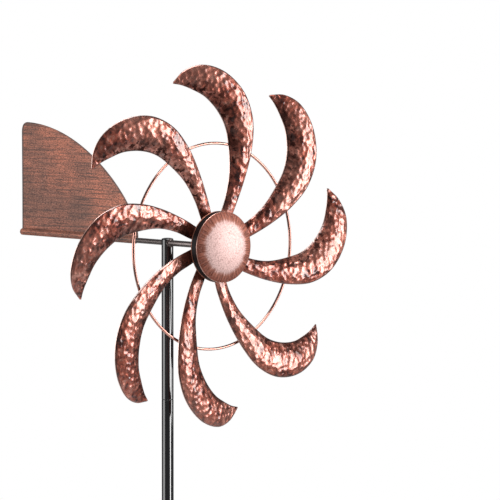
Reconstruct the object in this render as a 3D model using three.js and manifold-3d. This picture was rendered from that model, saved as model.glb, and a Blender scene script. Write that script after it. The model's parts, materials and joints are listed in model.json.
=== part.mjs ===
// Kinetic wind sculpture: a garden stake with a hammered eight-blade rotor and a tail vane.
// Millimetres, +Z up. The origin is on the pole's axis at the ground line, where the side prong
// leaves the stake. The rotor faces -Y and the tail vane trails along +Y.
// Bodies: stand (stake, pole, pivot), head (swivel, axle, tail) and rotor (hub, blades, ring).

import * as THREE from 'three';
import { mergeVertices } from 'three/addons/utils/BufferGeometryUtils.js';
import Module from 'manifold-3d';

const wasm = await Module();
wasm.setup();

// ---------------------------------------------------------------- driving dimensions
const GAP = 0.3;                    // play left between pieces that touch

const POLE_R = 8;                   // 16 mm tube
const TUBE_BORE_R = 6.8;
const NECK_R = TUBE_BORE_R - GAP;   // swaged neck that pushes into the next tube
const NECK_BORE_R = 5.5;
const NECK_LENGTH = 36;
const SECTION_LENGTH = 200;         // ground line to first joint, and joint to joint
const STAKE_DEPTH = 162;            // ground line to the stake's tip
const POLE_TOP_Z = 775.7;
const PLUG_DEPTH = 30;              // how far the pivot plug reaches down into the pole
const PIN_SEAT_Z = 750;

const PRONG_R = 3;
const PRONG_REACH = 150;            // pole axis to prong leg
const PRONG_BEND_R = 14;

const ARM_Z = 811;                  // height of the rotor axis and the tail rod
const SLEEVE_BOTTOM_Z = 778.1;
const SLEEVE_TOP_Z = 815.3;
const SLEEVE_BORE_R = 6;
const PIN_R = 3;
const PIN_TOP_Z = 806;
const BALL_R = 2.5;
const BUSH_Z = [[779, 789], [794, 810.6]];
const CAP_PLUG_Z = 811.7;           // underside of the cap's plug, just above the thrust ball

const AXLE_R = 4;                   // 8 mm rod
const AXLE_END = 27.6;              // axle's end, forward of the ring's plane
const ROTOR_Y = -93;                // ring's plane

const TAIL_ROD_R = 3.6;
const VANE_FRONT_Y = 66;
const VANE_BACK_Y = 317;
const VANE_TOP = 152;               // above the tail rod's axis
const VANE_CORNER = 14;
const VANE_SHEET = 0.6;
const HEM_BORE_R = TAIL_ROD_R + GAP;
const HEM_R = HEM_BORE_R + 0.7;
const HEM_END_Y = VANE_BACK_Y - 5;
const TAIL_ROD_END_Y = HEM_END_Y - 1.5;
const VANE_SCREW_Y = [96, 286];
const SCREW_HOLE_R = 1.8;

const HUB_R = 47;
const HUB_BACK = 12;                // depths of the hub, forward of the ring's plane
const HUB_RIM = 23.2;
const HUB_CROWN = 30;
const CAP_WALL = 1.2;
const CARRIER_R = 34;               // disc that the blades are riveted to
const CARRIER_FRONT = -0.5;
const CARRIER_BACK = -2;
const HOUSING_R = 13;
const WELD_GAP = 0.7;               // room for the carrier's weld round the housing
const BEARING = { bore: 4.3, innerR: 6, pitchR: 7.6, outerBore: 9.2, outerR: 10.9, width: 7, ballR: 1.95 };

// What is threaded on the axle, by each piece's rear face, from the collar forward to the nut.
const COLLAR_WIDTH = 3;
const SPACER_WIDTH = 7.6;
const WASHER_WIDTH = 1.2;
const NUT_WIDTH = 4.2;
const REAR_BEARING = -2.1;
const COLLAR = REAR_BEARING - GAP - COLLAR_WIDTH;
const SPACER = REAR_BEARING + BEARING.width + GAP;
const FRONT_BEARING = SPACER + SPACER_WIDTH + GAP;
const WASHER = FRONT_BEARING + BEARING.width + GAP;
const NUT = WASHER + WASHER_WIDTH + GAP;

const FIRST_TIP_ANGLE = 104.9;      // degrees from +X, seen from the front
const BLADE_SET = [0, 0.7, 2.5, -1, -1.6, 2.3, 0.4, 1]; // degrees each blade sits off even spacing
const BLADES = BLADE_SET.length;
const BLADE_SHEET = 0.8;
const RIVET_HOLE_R = 2.2;
const RIVET_R = 1.9;
const RIVET_PLACE = [20.4, 18.2];   // on a blade's root tab

const RING_R = 137;
const RING_WIRE_R = 1.9;

// Cross-sections of one blade whose tip points straight up, from its root tab to its tip.
// inner and outer are the two long edges as [x, forward, z], and crown is how far the sheet
// bulges forward between them.
const BLADE_SECTIONS = [
  { inner: [11.5, 0, 20.5], outer: [22.5, 0, 9.5], crown: 0 },
  { inner: [23, 0, 37], outer: [36, 0.3, 23.5], crown: 0.8 },
  { inner: [37.7, 0.3, 56.4], outer: [50.8, 1.2, 40], crown: 2.4 },
  { inner: [51.5, 1.7, 84.5], outer: [74.5, 4.5, 72.5], crown: 3.4 },
  { inner: [58.8, 2.7, 120], outer: [93.5, 8.2, 108.5], crown: 4.2 },
  { inner: [60.2, 2.4, 147], outer: [103.8, 9.8, 146], crown: 4.8 },
  { inner: [53.5, 1, 172], outer: [99, 8.6, 185], crown: 5 },
  { inner: [39.5, -2, 195.5], outer: [76, 4.6, 220], crown: 4.4 },
  { inner: [24, -5.2, 209.5], outer: [45, -1, 238], crown: 3 },
  { inner: [10, -8.4, 219.5], outer: [19, -6.8, 237.5], crown: 1.4 },
  { inner: [-1.4, -10.8, 224.8], outer: [-0.6, -10.6, 227], crown: 0 },
];

// ---------------------------------------------------------------- finishes
function finish(color, roughness, metalness) {
  return new THREE.MeshStandardMaterial({ color, roughness, metalness });
}

const blackEnamel = finish(0x0b0b0c, 0.22, 0.1);
const darkSteel = finish(0x4b4a4d, 0.35, 0.9);
const hammeredCopper = finish(0xa85f4a, 0.38, 0.9);
const brushedCopper = finish(0x7d4f40, 0.55, 0.7);
const hubCopper = finish(0xc98f7d, 0.4, 0.85);
const brightSteel = finish(0xb9bcc0, 0.25, 1);
const bronze = finish(0x9c7440, 0.45, 0.9);

// ---------------------------------------------------------------- geometry helpers
function named(name, geometry, material) {
  const mesh = new THREE.Mesh(geometry, material);
  mesh.name = name;
  return mesh;
}

function loop(points) {
  return [...points, points[0]];
}

function lathe(profile, segments = 24) {
  return new THREE.LatheGeometry(profile.map(([r, h]) => new THREE.Vector2(r, h)), segments);
}

// A turned piece standing along +Z.
function turnedUp(profile, segments) {
  return lathe(profile, segments).rotateX(Math.PI / 2);
}

// A turned piece whose profile heights run forward, along -Y.
function turnedForward(profile, segments) {
  return lathe(profile, segments).rotateX(Math.PI);
}

// A turned piece whose profile heights run along +X.
function turnedSideways(profile, segments) {
  return lathe(profile, segments).rotateZ(-Math.PI / 2);
}

function ring(innerR, outerR, from, to) {
  return loop([[outerR, from], [outerR, to], [innerR, to], [innerR, from]]);
}

function rod(radius, from, to, bevel = 0.5) {
  return [[0, from], [radius - bevel, from], [radius, from + bevel], [radius, to - bevel],
    [radius - bevel, to], [0, to]];
}

function toSolid(geometry) {
  const bare = new THREE.BufferGeometry();
  bare.setAttribute('position', geometry.getAttribute('position').clone());
  bare.setIndex(geometry.index ? geometry.index.clone() : null);
  const merged = mergeVertices(bare, 1e-4);
  const index = merged.index.array;
  const kept = [];
  for (let i = 0; i < index.length; i += 3) {
    const [a, b, c] = [index[i], index[i + 1], index[i + 2]];
    if (a !== b && b !== c && c !== a) kept.push(a, b, c);
  }
  return new wasm.Manifold(new wasm.Mesh({
    numProp: 3,
    vertProperties: new Float32Array(merged.getAttribute('position').array),
    triVerts: new Uint32Array(kept),
  }));
}

function toGeometry(solid) {
  const mesh = solid.getMesh();
  const geometry = new THREE.BufferGeometry();
  geometry.setAttribute('position', new THREE.BufferAttribute(mesh.vertProperties, 3));
  geometry.setIndex(new THREE.BufferAttribute(mesh.triVerts, 1));
  return geometry;
}

function cut(geometry, ...tools) {
  return toGeometry(tools.reduce((solid, tool) => solid.subtract(toSolid(tool)), toSolid(geometry)));
}

function join(...geometries) {
  return toGeometry(geometries.map(toSolid).reduce((whole, next) => whole.add(next)));
}

// A closed sheet between a front and a back grid of points.
function sheetGeometry(front, back) {
  const rows = front.length;
  const columns = front[0].length;
  const positions = [...front.flat(), ...back.flat()].flatMap((p) => p.toArray());
  const f = (i, j) => i * columns + j;
  const b = (i, j) => rows * columns + i * columns + j;
  const index = [];
  const quad = (p, q, r, s) => index.push(p, q, r, p, r, s);
  for (let i = 0; i < rows - 1; i++) {
    for (let j = 0; j < columns - 1; j++) {
      quad(f(i, j), f(i, j + 1), f(i + 1, j + 1), f(i + 1, j));
      quad(b(i, j), b(i + 1, j), b(i + 1, j + 1), b(i, j + 1));
    }
    quad(f(i, 0), f(i + 1, 0), b(i + 1, 0), b(i, 0));
    quad(f(i, columns - 1), b(i, columns - 1), b(i + 1, columns - 1), f(i + 1, columns - 1));
  }
  for (let j = 0; j < columns - 1; j++) {
    quad(f(0, j), b(0, j), b(0, j + 1), f(0, j + 1));
    quad(f(rows - 1, j), f(rows - 1, j + 1), b(rows - 1, j + 1), b(rows - 1, j));
  }
  const geometry = new THREE.BufferGeometry();
  geometry.setAttribute('position', new THREE.Float32BufferAttribute(positions, 3));
  geometry.setIndex(index);
  return geometry;
}

// ---------------------------------------------------------------- stand
function groundStake() {
  return turnedUp([
    [0, -STAKE_DEPTH], [2.4, -STAKE_DEPTH + 1.2], [3.7, -STAKE_DEPTH + 6], [4.1, -141], [6, -125],
    [7.5, -109], [POLE_R, -95],
    ...neck(SECTION_LENGTH), [TUBE_BORE_R, -84], [0, -90],
  ]);
}

// Profile of a tube's swaged top, from the outside of its shoulder over the neck and down the bore.
function neck(shoulder) {
  const top = shoulder + NECK_LENGTH;
  return [[POLE_R, shoulder], [NECK_R, shoulder], [NECK_R, top], [NECK_BORE_R, top],
    [NECK_BORE_R, shoulder - 2], [TUBE_BORE_R, shoulder - 5]];
}

function neckedTube(bottom, shoulder) {
  return turnedUp(loop([[POLE_R, bottom], ...neck(shoulder), [TUBE_BORE_R, bottom]]));
}

// A round rod that leaves the stake sideways, bends down and ends level with the stake's tip.
function stakeProng() {
  const start = -POLE_R - GAP - 0.1;
  const bendStart = -PRONG_REACH + PRONG_BEND_R;
  const path = new THREE.CurvePath();
  path.add(new THREE.LineCurve3(new THREE.Vector3(start, 0, 0), new THREE.Vector3(bendStart, 0, 0)));
  path.add(new THREE.QuadraticBezierCurve3(new THREE.Vector3(bendStart, 0, 0),
    new THREE.Vector3(-PRONG_REACH, 0, 0), new THREE.Vector3(-PRONG_REACH, 0, -PRONG_BEND_R)));
  path.add(new THREE.LineCurve3(new THREE.Vector3(-PRONG_REACH, 0, -PRONG_BEND_R),
    new THREE.Vector3(-PRONG_REACH, 0, -STAKE_DEPTH)));
  const section = new THREE.Shape().absarc(0, 0, PRONG_R, 0, Math.PI * 2);
  return new THREE.ExtrudeGeometry(section, { steps: 50, extrudePath: path, curveSegments: 5 });
}

function pivotPlug() {
  const flange = POLE_TOP_Z + GAP;
  const bottom = POLE_TOP_Z - PLUG_DEPTH;
  const pinHoleR = PIN_R + GAP;
  return turnedUp([[0, bottom], [NECK_R - 0.6, bottom], [NECK_R, bottom + 1], [NECK_R, flange],
    [POLE_R, flange], [POLE_R, flange + 1.2], [POLE_R - 0.4, flange + 1.6], [pinHoleR, flange + 1.6],
    [pinHoleR, PIN_SEAT_Z], [0, PIN_SEAT_Z]]);
}

function buildStand() {
  const stand = new THREE.Group();
  const joint = (n) => SECTION_LENGTH * n;
  stand.add(
    named('ground_stake', groundStake(), blackEnamel),
    named('stake_prong', stakeProng(), blackEnamel),
    named('pole_lower', neckedTube(joint(1) + GAP, joint(2)), blackEnamel),
    named('pole_middle', neckedTube(joint(2) + GAP, joint(3)), blackEnamel),
    named('pole_upper', turnedUp(ring(TUBE_BORE_R, POLE_R, joint(3) + GAP, POLE_TOP_Z)), blackEnamel),
    named('pivot_plug', pivotPlug(), blackEnamel),
    named('pivot_pin', turnedUp(rod(PIN_R, PIN_SEAT_Z + GAP, PIN_TOP_Z)), brightSteel),
  );
  return stand;
}

// ---------------------------------------------------------------- head
// The swivel tube as a cutter, so that a rod's end is coped to sit round it.
function swivelCutter() {
  return turnedUp(rod(POLE_R + GAP, ARM_Z - 20, ARM_Z + 20));
}

function copedRod(radius, tipY) {
  const direction = Math.sign(tipY);
  const along = turnedForward(rod(radius, 5, Math.abs(tipY))).rotateZ(direction > 0 ? Math.PI : 0);
  return cut(along.translate(0, 0, ARM_Z), swivelCutter());
}

function sleeveProfile() {
  const bevel = 0.4;
  return loop([[POLE_R, SLEEVE_BOTTOM_Z + bevel], [POLE_R, SLEEVE_TOP_Z], [SLEEVE_BORE_R, SLEEVE_TOP_Z],
    [SLEEVE_BORE_R, SLEEVE_BOTTOM_Z], [POLE_R - bevel, SLEEVE_BOTTOM_Z]]);
}

function swivelCap() {
  const plugR = SLEEVE_BORE_R - GAP;
  const rim = SLEEVE_TOP_Z + GAP;
  return turnedUp([[0, CAP_PLUG_Z], [plugR, CAP_PLUG_Z], [plugR, rim], [POLE_R, rim], [7.7, rim + 0.8],
    [5.6, rim + 1.6], [2.8, rim + 2], [0, rim + 2.1]]);
}

function screwHole(y) {
  return turnedSideways(rod(SCREW_HOLE_R, -1, 8, 0.1), 12).translate(0, y, ARM_Z);
}

function tailRod() {
  return cut(copedRod(TAIL_ROD_R, TAIL_ROD_END_Y), ...VANE_SCREW_Y.map(screwHole));
}

// The sheet stands on the far side of its own rolled hem, which wraps the tail rod.
function tailVane() {
  const outline = new THREE.Shape();
  outline.moveTo(VANE_FRONT_Y, 0);
  outline.lineTo(VANE_FRONT_Y, HEM_R);
  outline.bezierCurveTo(VANE_FRONT_Y, 45.5, 172, VANE_TOP - 2.5, VANE_BACK_Y - VANE_CORNER, VANE_TOP);
  outline.quadraticCurveTo(VANE_BACK_Y, VANE_TOP, VANE_BACK_Y, VANE_TOP - VANE_CORNER);
  outline.lineTo(VANE_BACK_Y, 0);
  const sheet = new THREE.ExtrudeGeometry(outline,
    { depth: VANE_SHEET, bevelEnabled: false, curveSegments: 14 });
  sheet.applyMatrix4(new THREE.Matrix4().makeBasis(
    new THREE.Vector3(0, 1, 0), new THREE.Vector3(0, 0, 1), new THREE.Vector3(1, 0, 0)));
  sheet.translate(HEM_R - VANE_SHEET, 0, ARM_Z);
  const hem = turnedForward(ring(HEM_BORE_R, HEM_R, -HEM_END_Y, -VANE_FRONT_Y)).translate(0, 0, ARM_Z);
  return cut(join(sheet, hem), ...VANE_SCREW_Y.map(screwHole));
}

function vaneScrew() {
  const seat = HEM_R + GAP;
  return turnedSideways([[0, -0.7], [1.5, -0.4], [1.5, seat], [3, seat], [3, seat + 0.9], [2.2, seat + 1.8],
    [0, seat + 2.1]], 14);
}

// Profile of the groove the balls run in, sunk into a race's edge: side is 1 outward and -1 inward.
function raceway(edgeR, side, from) {
  const middle = from + BEARING.width / 2;
  const groove = [[0, -1.8], [0.5, -1], [0.7, 0], [0.5, 1], [0, 1.8]];
  return groove.map(([depth, offset]) => [edgeR + side * depth, middle + offset]);
}

function innerRace(from) {
  const { bore, innerR, width } = BEARING;
  return turnedForward(loop([[bore, from], [innerR, from], ...raceway(innerR, -1, from),
    [innerR, from + width], [bore, from + width]]), 20);
}

function axleNut(from) {
  const acrossFlats = 13;
  const cornerR = acrossFlats / 2 / Math.cos(Math.PI / 6);
  const hexagon = new THREE.Shape(Array.from({ length: 6 }, (_, i) =>
    new THREE.Vector2(cornerR, 0).rotateAround(new THREE.Vector2(), (i * Math.PI) / 3)));
  hexagon.holes.push(new THREE.Path().absarc(0, 0, AXLE_R + GAP, 0, Math.PI * 2, true));
  const nut = new THREE.ExtrudeGeometry(hexagon,
    { depth: NUT_WIDTH, bevelEnabled: false, curveSegments: 20 });
  return nut.rotateX(Math.PI / 2).translate(0, -from, 0);
}

function atRotor(mesh) {
  mesh.position.set(0, ROTOR_Y, ARM_Z);
  return mesh;
}

function buildHead() {
  const head = new THREE.Group();
  const bush = ([from, to]) => turnedUp(ring(PIN_R + GAP, SLEEVE_BORE_R - GAP, from, to));
  const onAxle = (outerR, from, width) => turnedForward(ring(AXLE_R + GAP, outerR, from, from + width), 20);
  head.add(
    named('swivel_sleeve', turnedUp(sleeveProfile()), blackEnamel),
    named('swivel_cap', swivelCap(), blackEnamel),
    named('bush_lower', bush(BUSH_Z[0]), bronze),
    named('bush_upper', bush(BUSH_Z[1]), bronze),
    named('axle_rod', copedRod(AXLE_R, ROTOR_Y - AXLE_END), darkSteel),
    named('tail_rod', tailRod(), darkSteel),
    named('tail_vane', tailVane(), brushedCopper),
    atRotor(named('axle_collar', onAxle(6.5, COLLAR, COLLAR_WIDTH), darkSteel)),
    atRotor(named('bearing_rear_inner_race', innerRace(REAR_BEARING), brightSteel)),
    atRotor(named('bearing_spacer', onAxle(BEARING.innerR, SPACER, SPACER_WIDTH), brightSteel)),
    atRotor(named('bearing_front_inner_race', innerRace(FRONT_BEARING), brightSteel)),
    atRotor(named('axle_washer', onAxle(7.6, WASHER, WASHER_WIDTH), brightSteel)),
    atRotor(named('axle_nut', axleNut(NUT), brightSteel)),
  );
  const ball = named('thrust_ball', new THREE.SphereGeometry(BALL_R, 12, 8), brightSteel);
  ball.position.z = PIN_TOP_Z + GAP + BALL_R;
  head.add(ball);
  VANE_SCREW_Y.forEach((y, i) => {
    const screw = named(`vane_screw_${i + 1}`, vaneScrew(), brightSteel);
    screw.position.set(0, y, ARM_Z);
    head.add(screw);
  });
  return head;
}

// ---------------------------------------------------------------- rotor
function outerRace(from) {
  const { outerBore, outerR, width } = BEARING;
  return turnedForward(loop([[outerR, from], [outerR, from + width], [outerBore, from + width],
    ...raceway(outerBore, 1, from).reverse(), [outerBore, from]]), 20);
}

// Seven balls held in a flat cage ring.
function ballCage(from) {
  const { pitchR, ballR, width } = BEARING;
  const middle = from + width / 2;
  const cage = turnedForward(ring(pitchR - 0.7, pitchR + 0.7, middle - 1, middle + 1), 21);
  const balls = Array.from({ length: 7 }, (_, i) => {
    const angle = (i / 7) * Math.PI * 2;
    return new THREE.SphereGeometry(ballR, 7, 5)
      .translate(pitchR * Math.cos(angle), -middle, pitchR * Math.sin(angle));
  });
  return join(cage, ...balls);
}

function hubFrontCap() {
  const innerR = HUB_R - CAP_WALL;
  const back = HUB_BACK + GAP;
  const dome = (r, crown) => HUB_RIM + (crown - HUB_RIM) * (1 - (r / HUB_R) ** 2);
  const steps = [0.94, 0.75, 0.5, 0.25, 0];
  return turnedForward([
    ...steps.map((k) => [k * HUB_R, dome(k * HUB_R, HUB_CROWN - CAP_WALL) - (k > 0.9 ? 0.6 : 0)]).reverse(),
    [innerR, HUB_RIM - 2.2], [innerR, back], [HUB_R, back], [HUB_R, HUB_RIM - 2],
    [HUB_R - 0.7, HUB_RIM - 0.4],
    ...steps.map((k) => [k * HUB_R, dome(k * HUB_R, HUB_CROWN)]),
  ], 40);
}

function bearingHousing() {
  const seatR = BEARING.outerR + GAP;
  const landR = 9.6;
  const rear = REAR_BEARING - GAP;
  const frontSeat = FRONT_BEARING - GAP;
  return turnedForward(loop([[HOUSING_R, rear], [HOUSING_R, WASHER], [seatR, WASHER], [seatR, frontSeat],
    [landR, frontSeat], [landR, SPACER], [seatR, SPACER], [seatR, rear]]));
}

// A disc with a hole for the bearing housing and one for each blade's rivet.
function bladeCarrier() {
  const disc = new THREE.Shape().absarc(0, 0, CARRIER_R, 0, Math.PI * 2);
  disc.holes.push(new THREE.Path().absarc(0, 0, HOUSING_R + WELD_GAP, 0, Math.PI * 2, true));
  for (let i = 0; i < BLADES; i++) {
    const place = new THREE.Vector2(...RIVET_PLACE).rotateAround(new THREE.Vector2(), bladeTurn(i));
    disc.holes.push(new THREE.Path().absarc(place.x, place.y, RIVET_HOLE_R, 0, Math.PI * 2, true));
  }
  const plate = new THREE.ExtrudeGeometry(disc,
    { depth: CARRIER_FRONT - CARRIER_BACK, bevelEnabled: false, curveSegments: 7 });
  return plate.rotateX(Math.PI / 2).translate(0, -CARRIER_BACK, 0);
}

// The angle that turns an upright blade to its place, seen from the front.
function bladeTurn(i) {
  return THREE.MathUtils.degToRad(FIRST_TIP_ANGLE - 90 - (i * 360) / BLADES + BLADE_SET[i]);
}

function bladeGeometry() {
  const lengthSteps = 20;
  const widthSteps = 4;
  const curve = (key) => new THREE.CatmullRomCurve3(
    BLADE_SECTIONS.map((s) => new THREE.Vector3(s[key][0], -s[key][1], s[key][2])));
  const inner = curve('inner');
  const outer = curve('outer');
  const crowns = new THREE.SplineCurve(BLADE_SECTIONS.map((s, i) => new THREE.Vector2(i, s.crown)));
  const front = [];
  const back = [];
  for (let i = 0; i <= lengthSteps; i++) {
    const t = i / lengthSteps;
    const row = Array.from({ length: widthSteps + 1 }, (_, j) => {
      const u = j / widthSteps;
      const point = new THREE.Vector3().lerpVectors(inner.getPoint(t), outer.getPoint(t), u);
      point.y -= Math.max(0, crowns.getPoint(t).y) * 4 * u * (1 - u);
      return point;
    });
    back.push(row);
    front.push(row.map((p) => p.clone().add(new THREE.Vector3(0, -BLADE_SHEET, 0))));
  }
  const hole = turnedForward(rod(RIVET_HOLE_R, -3, 4, 0.1), 14)
    .translate(RIVET_PLACE[0], 0, RIVET_PLACE[1]);
  return cut(sheetGeometry(front, back), hole);
}

function bladeRivet() {
  const seat = BLADE_SHEET + 0.6;
  const tail = CARRIER_BACK - GAP;
  return turnedForward([[0, tail - 1.4], [2.2, tail - 1.2], [3.4, tail - 0.4], [3.4, tail], [RIVET_R, tail],
    [RIVET_R, seat], [3.6, seat], [3.4, seat + 0.6], [2.2, seat + 1.5], [0, seat + 1.9]], 14)
    .translate(RIVET_PLACE[0], 0, RIVET_PLACE[1]);
}

function buildRotor() {
  const rotor = new THREE.Group();
  rotor.position.set(0, ROTOR_Y, ARM_Z);
  const hoop = new THREE.TorusGeometry(RING_R, RING_WIRE_R, 8, 56).rotateX(Math.PI / 2);
  const rearDisc = turnedForward(ring(HOUSING_R + GAP, HUB_R + 0.4, HUB_BACK - 1.4, HUB_BACK), 40);
  rotor.add(
    named('hub_front_cap', hubFrontCap(), hubCopper),
    named('hub_rear_disc', rearDisc, hubCopper),
    named('blade_carrier', bladeCarrier(), brushedCopper),
    named('bearing_housing', bearingHousing(), darkSteel),
    named('bearing_rear_outer_race', outerRace(REAR_BEARING), brightSteel),
    named('bearing_rear_ball_cage', ballCage(REAR_BEARING), bronze),
    named('bearing_front_outer_race', outerRace(FRONT_BEARING), brightSteel),
    named('bearing_front_ball_cage', ballCage(FRONT_BEARING), bronze),
    named('stabilizer_ring', hoop, hammeredCopper),
  );
  const blade = bladeGeometry();
  const rivet = bladeRivet();
  for (let i = 0; i < BLADES; i++) {
    const place = new THREE.Group();
    place.rotation.y = -bladeTurn(i);
    place.add(
      named(`blade_${i + 1}`, blade, hammeredCopper),
      named(`blade_rivet_${i + 1}`, rivet, darkSteel),
    );
    rotor.add(place);
  }
  return rotor;
}

const sculpture = new THREE.Group();
sculpture.add(buildStand(), buildHead(), buildRotor());

export default sculpture;
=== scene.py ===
"""Looks for the kinetic wind sculpture: fine meshes, materials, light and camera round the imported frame.

Everything is in metres in the frame's own axes: +Z up, rotor facing -Y, tail along +Y.
"""
import json
import math

import bpy
import bmesh
import numpy as np
from mathutils import Matrix, Vector

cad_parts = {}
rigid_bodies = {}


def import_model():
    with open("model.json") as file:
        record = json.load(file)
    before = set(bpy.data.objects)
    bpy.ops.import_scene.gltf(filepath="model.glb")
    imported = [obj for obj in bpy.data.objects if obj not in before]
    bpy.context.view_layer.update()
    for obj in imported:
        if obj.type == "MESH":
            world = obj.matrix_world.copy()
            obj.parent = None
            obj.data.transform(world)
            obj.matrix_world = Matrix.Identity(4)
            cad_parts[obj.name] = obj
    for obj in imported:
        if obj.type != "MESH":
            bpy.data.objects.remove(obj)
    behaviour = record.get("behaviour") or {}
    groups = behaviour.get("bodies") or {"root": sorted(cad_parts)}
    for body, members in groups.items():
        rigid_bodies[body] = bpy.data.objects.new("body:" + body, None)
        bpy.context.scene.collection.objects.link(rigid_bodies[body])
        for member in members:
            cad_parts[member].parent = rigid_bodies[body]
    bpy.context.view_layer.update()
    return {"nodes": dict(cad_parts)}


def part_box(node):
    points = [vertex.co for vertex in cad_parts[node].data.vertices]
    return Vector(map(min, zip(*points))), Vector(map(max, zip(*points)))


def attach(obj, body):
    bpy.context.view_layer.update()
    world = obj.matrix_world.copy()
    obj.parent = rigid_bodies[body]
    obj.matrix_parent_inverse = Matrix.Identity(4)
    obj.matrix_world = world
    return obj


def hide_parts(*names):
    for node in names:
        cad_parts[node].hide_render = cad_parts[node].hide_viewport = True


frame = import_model()

MM = 0.001

# ------------------------------------------------------------------ sizes that the frame gives
ring_low, ring_high = (Vector(corner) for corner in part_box("stabilizer_ring"))
ROTOR = (ring_low + ring_high) / 2
ARM_Z = ROTOR.z
pole_low, pole_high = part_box("pole_upper")
TUBE_R = (pole_high[0] - pole_low[0]) / 2 / MM  # of pole, stake and sleeve, in mm
TIP_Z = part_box("ground_stake")[0][2]

FLOOR_R = 5.0  # of the studio's floor, in metres

# ------------------------------------------------------------------ sizes that follow part.mjs, in mm
# Rotor. Angles are in degrees, and HUB_BACK, HUB_RIM and HUB_CROWN are forward of the hoop's plane.
FIRST_TIP_ANGLE = 104.9
BLADE_SET = (0, 0.7, 2.5, -1, -1.6, 2.3, 0.4, 1)
BLADES = len(BLADE_SET)
BLADE_SHEET = 0.8
RING_R = 137
WIRE_R = 1.9
HUB_R = 47
HUB_BACK = 12
HUB_RIM = 23.2
HUB_CROWN = 30
HUB_WALL = 1.2
RIVET_PLACE = (20.4, 18.2)
CARRIER_R = 34
HOUSING_R = 13
HOUSING_BORE_R = 11.1

# Rods and vane. Lengths along Y are from the pole's axis.
AXLE_R = 4
AXLE_END = 120.6
TAIL_ROD_R = 3.6
HEM_BORE_R = 3.9
HEM_R = 4.6
VANE_FRONT_Y = 66
VANE_BACK_Y = 317
VANE_TOP = 152
VANE_CORNER = 14
HEM_END_Y = VANE_BACK_Y - 5
TAIL_ROD_END_Y = HEM_END_Y - 1.5
VANE_SCREW_Y = (96, 286)

# Stake and pole
STAKE_DEPTH = 162
PRONG_R = 3
PRONG_REACH = 150
PRONG_BEND_R = 14
TUBE_BORE_R = 6.8
NECK_R = 6.5
NECK_BORE_R = 5.5
NECK_HEIGHT = 36
POLE_JOINTS = (200, 400, 600)
POLE_TOP = 775.7
GAP = 0.3

# Ball bearings, with the races as bore and outer radius
BALLS = 7
BALL_R = 1.95
BALL_CIRCLE_R = 7.6
BALL_GROOVE_R = 2.0
INNER_RACE = (4.3, 6.0)
OUTER_RACE = (9.2, 10.9)

# ------------------------------------------------------------------ sizes of surface detail, in mm
DENT_PITCH = 6.8
DENT_DEPTH = 0.8
EDGE_ROLL = 0.9
WELD_RIPPLE = 0.10
VANE_WAVINESS = 0.28
VANE_HALF_SHEET = 0.3

# One blade with its tip straight up: inner and outer edge as (x, forward, z), and the sheet's bulge.
BLADE_SECTIONS = (
    ((11.5, 0, 20.5), (22.5, 0, 9.5), 0),
    ((23, 0, 37), (36, 0.3, 23.5), 0.8),
    ((37.7, 0.3, 56.4), (50.8, 1.2, 40), 2.4),
    ((51.5, 1.7, 84.5), (74.5, 4.5, 72.5), 3.4),
    ((58.8, 2.7, 120), (93.5, 8.2, 108.5), 4.2),
    ((60.2, 2.4, 147), (103.8, 9.8, 146), 4.8),
    ((53.5, 1, 172), (99, 8.6, 185), 5),
    ((39.5, -2, 195.5), (76, 4.6, 220), 4.4),
    ((24, -5.2, 209.5), (45, -1, 238), 3),
    ((10, -8.4, 219.5), (19, -6.8, 237.5), 1.4),
    ((-1.4, -10.8, 224.8), (-0.6, -10.6, 227), 0),
)


# ------------------------------------------------------------------ mesh helpers
def new_object(name, vertices, faces, material, uvs=None):
    """A smooth-shaded mesh object from vertices in metres, with its normals made to point out."""
    mesh = bpy.data.meshes.new(name)
    mesh.from_pydata([tuple(v) for v in vertices], [], faces)
    if uvs is not None:
        layer = mesh.uv_layers.new(name="UVMap")
        corner_vertices = np.empty(len(mesh.loops), dtype=np.int32)
        mesh.loops.foreach_get("vertex_index", corner_vertices)
        layer.data.foreach_set("uv", np.asarray(uvs, dtype=np.float32)[corner_vertices].ravel())
    build = bmesh.new()
    build.from_mesh(mesh)
    bmesh.ops.recalc_face_normals(build, faces=build.faces)
    build.to_mesh(mesh)
    build.free()
    mesh.polygons.foreach_set("use_smooth", [True] * len(mesh.polygons))
    mesh.materials.append(material)
    piece = bpy.data.objects.new(name, mesh)
    bpy.context.collection.objects.link(piece)
    return piece


def sharpen(piece, degrees=35):
    """Keeps edges steeper than the angle crisp on a smooth-shaded piece."""
    mesh = piece.data
    build = bmesh.new()
    build.from_mesh(mesh)
    limit = math.radians(degrees)
    for edge in build.edges:
        edge.smooth = not (len(edge.link_faces) == 2 and edge.calc_face_angle(0.0) > limit)
    build.to_mesh(mesh)
    build.free()
    return piece


def grid_faces(rows, columns, wrap_rows=False, wrap_columns=False):
    """Quads between the points of a grid that is stored row by row and may close on itself."""
    faces = []
    for i in range(rows if wrap_rows else rows - 1):
        for j in range(columns if wrap_columns else columns - 1):
            a, b = i * columns + j, i * columns + (j + 1) % columns
            c, d = ((i + 1) % rows) * columns + (j + 1) % columns, ((i + 1) % rows) * columns + j
            faces.append((a, b, c, d))
    return faces


def sheet_faces(rows, columns):
    """Faces of a closed sheet: a grid in front, a like grid behind it, and the strip round their rims."""
    count = rows * columns
    front = grid_faces(rows, columns)
    back = [tuple(count + v for v in face)[::-1] for face in front]
    rim = list(range(columns))
    rim += [row * columns + columns - 1 for row in range(1, rows)]
    rim += [(rows - 1) * columns + column for column in range(columns - 2, -1, -1)]
    rim += [row * columns for row in range(rows - 2, 0, -1)]
    strip = [(a, b, b + count, a + count) for a, b in zip(rim, rim[1:] + rim[:1])]
    return front + back + strip


def frame_from(axis):
    """The axis at unit length and two directions square to it."""
    axis = Vector(axis).normalized()
    side = axis.cross(Vector((0, 0, 1)) if abs(axis.z) < 0.9 else Vector((1, 0, 0))).normalized()
    return axis, side, axis.cross(side)


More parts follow.
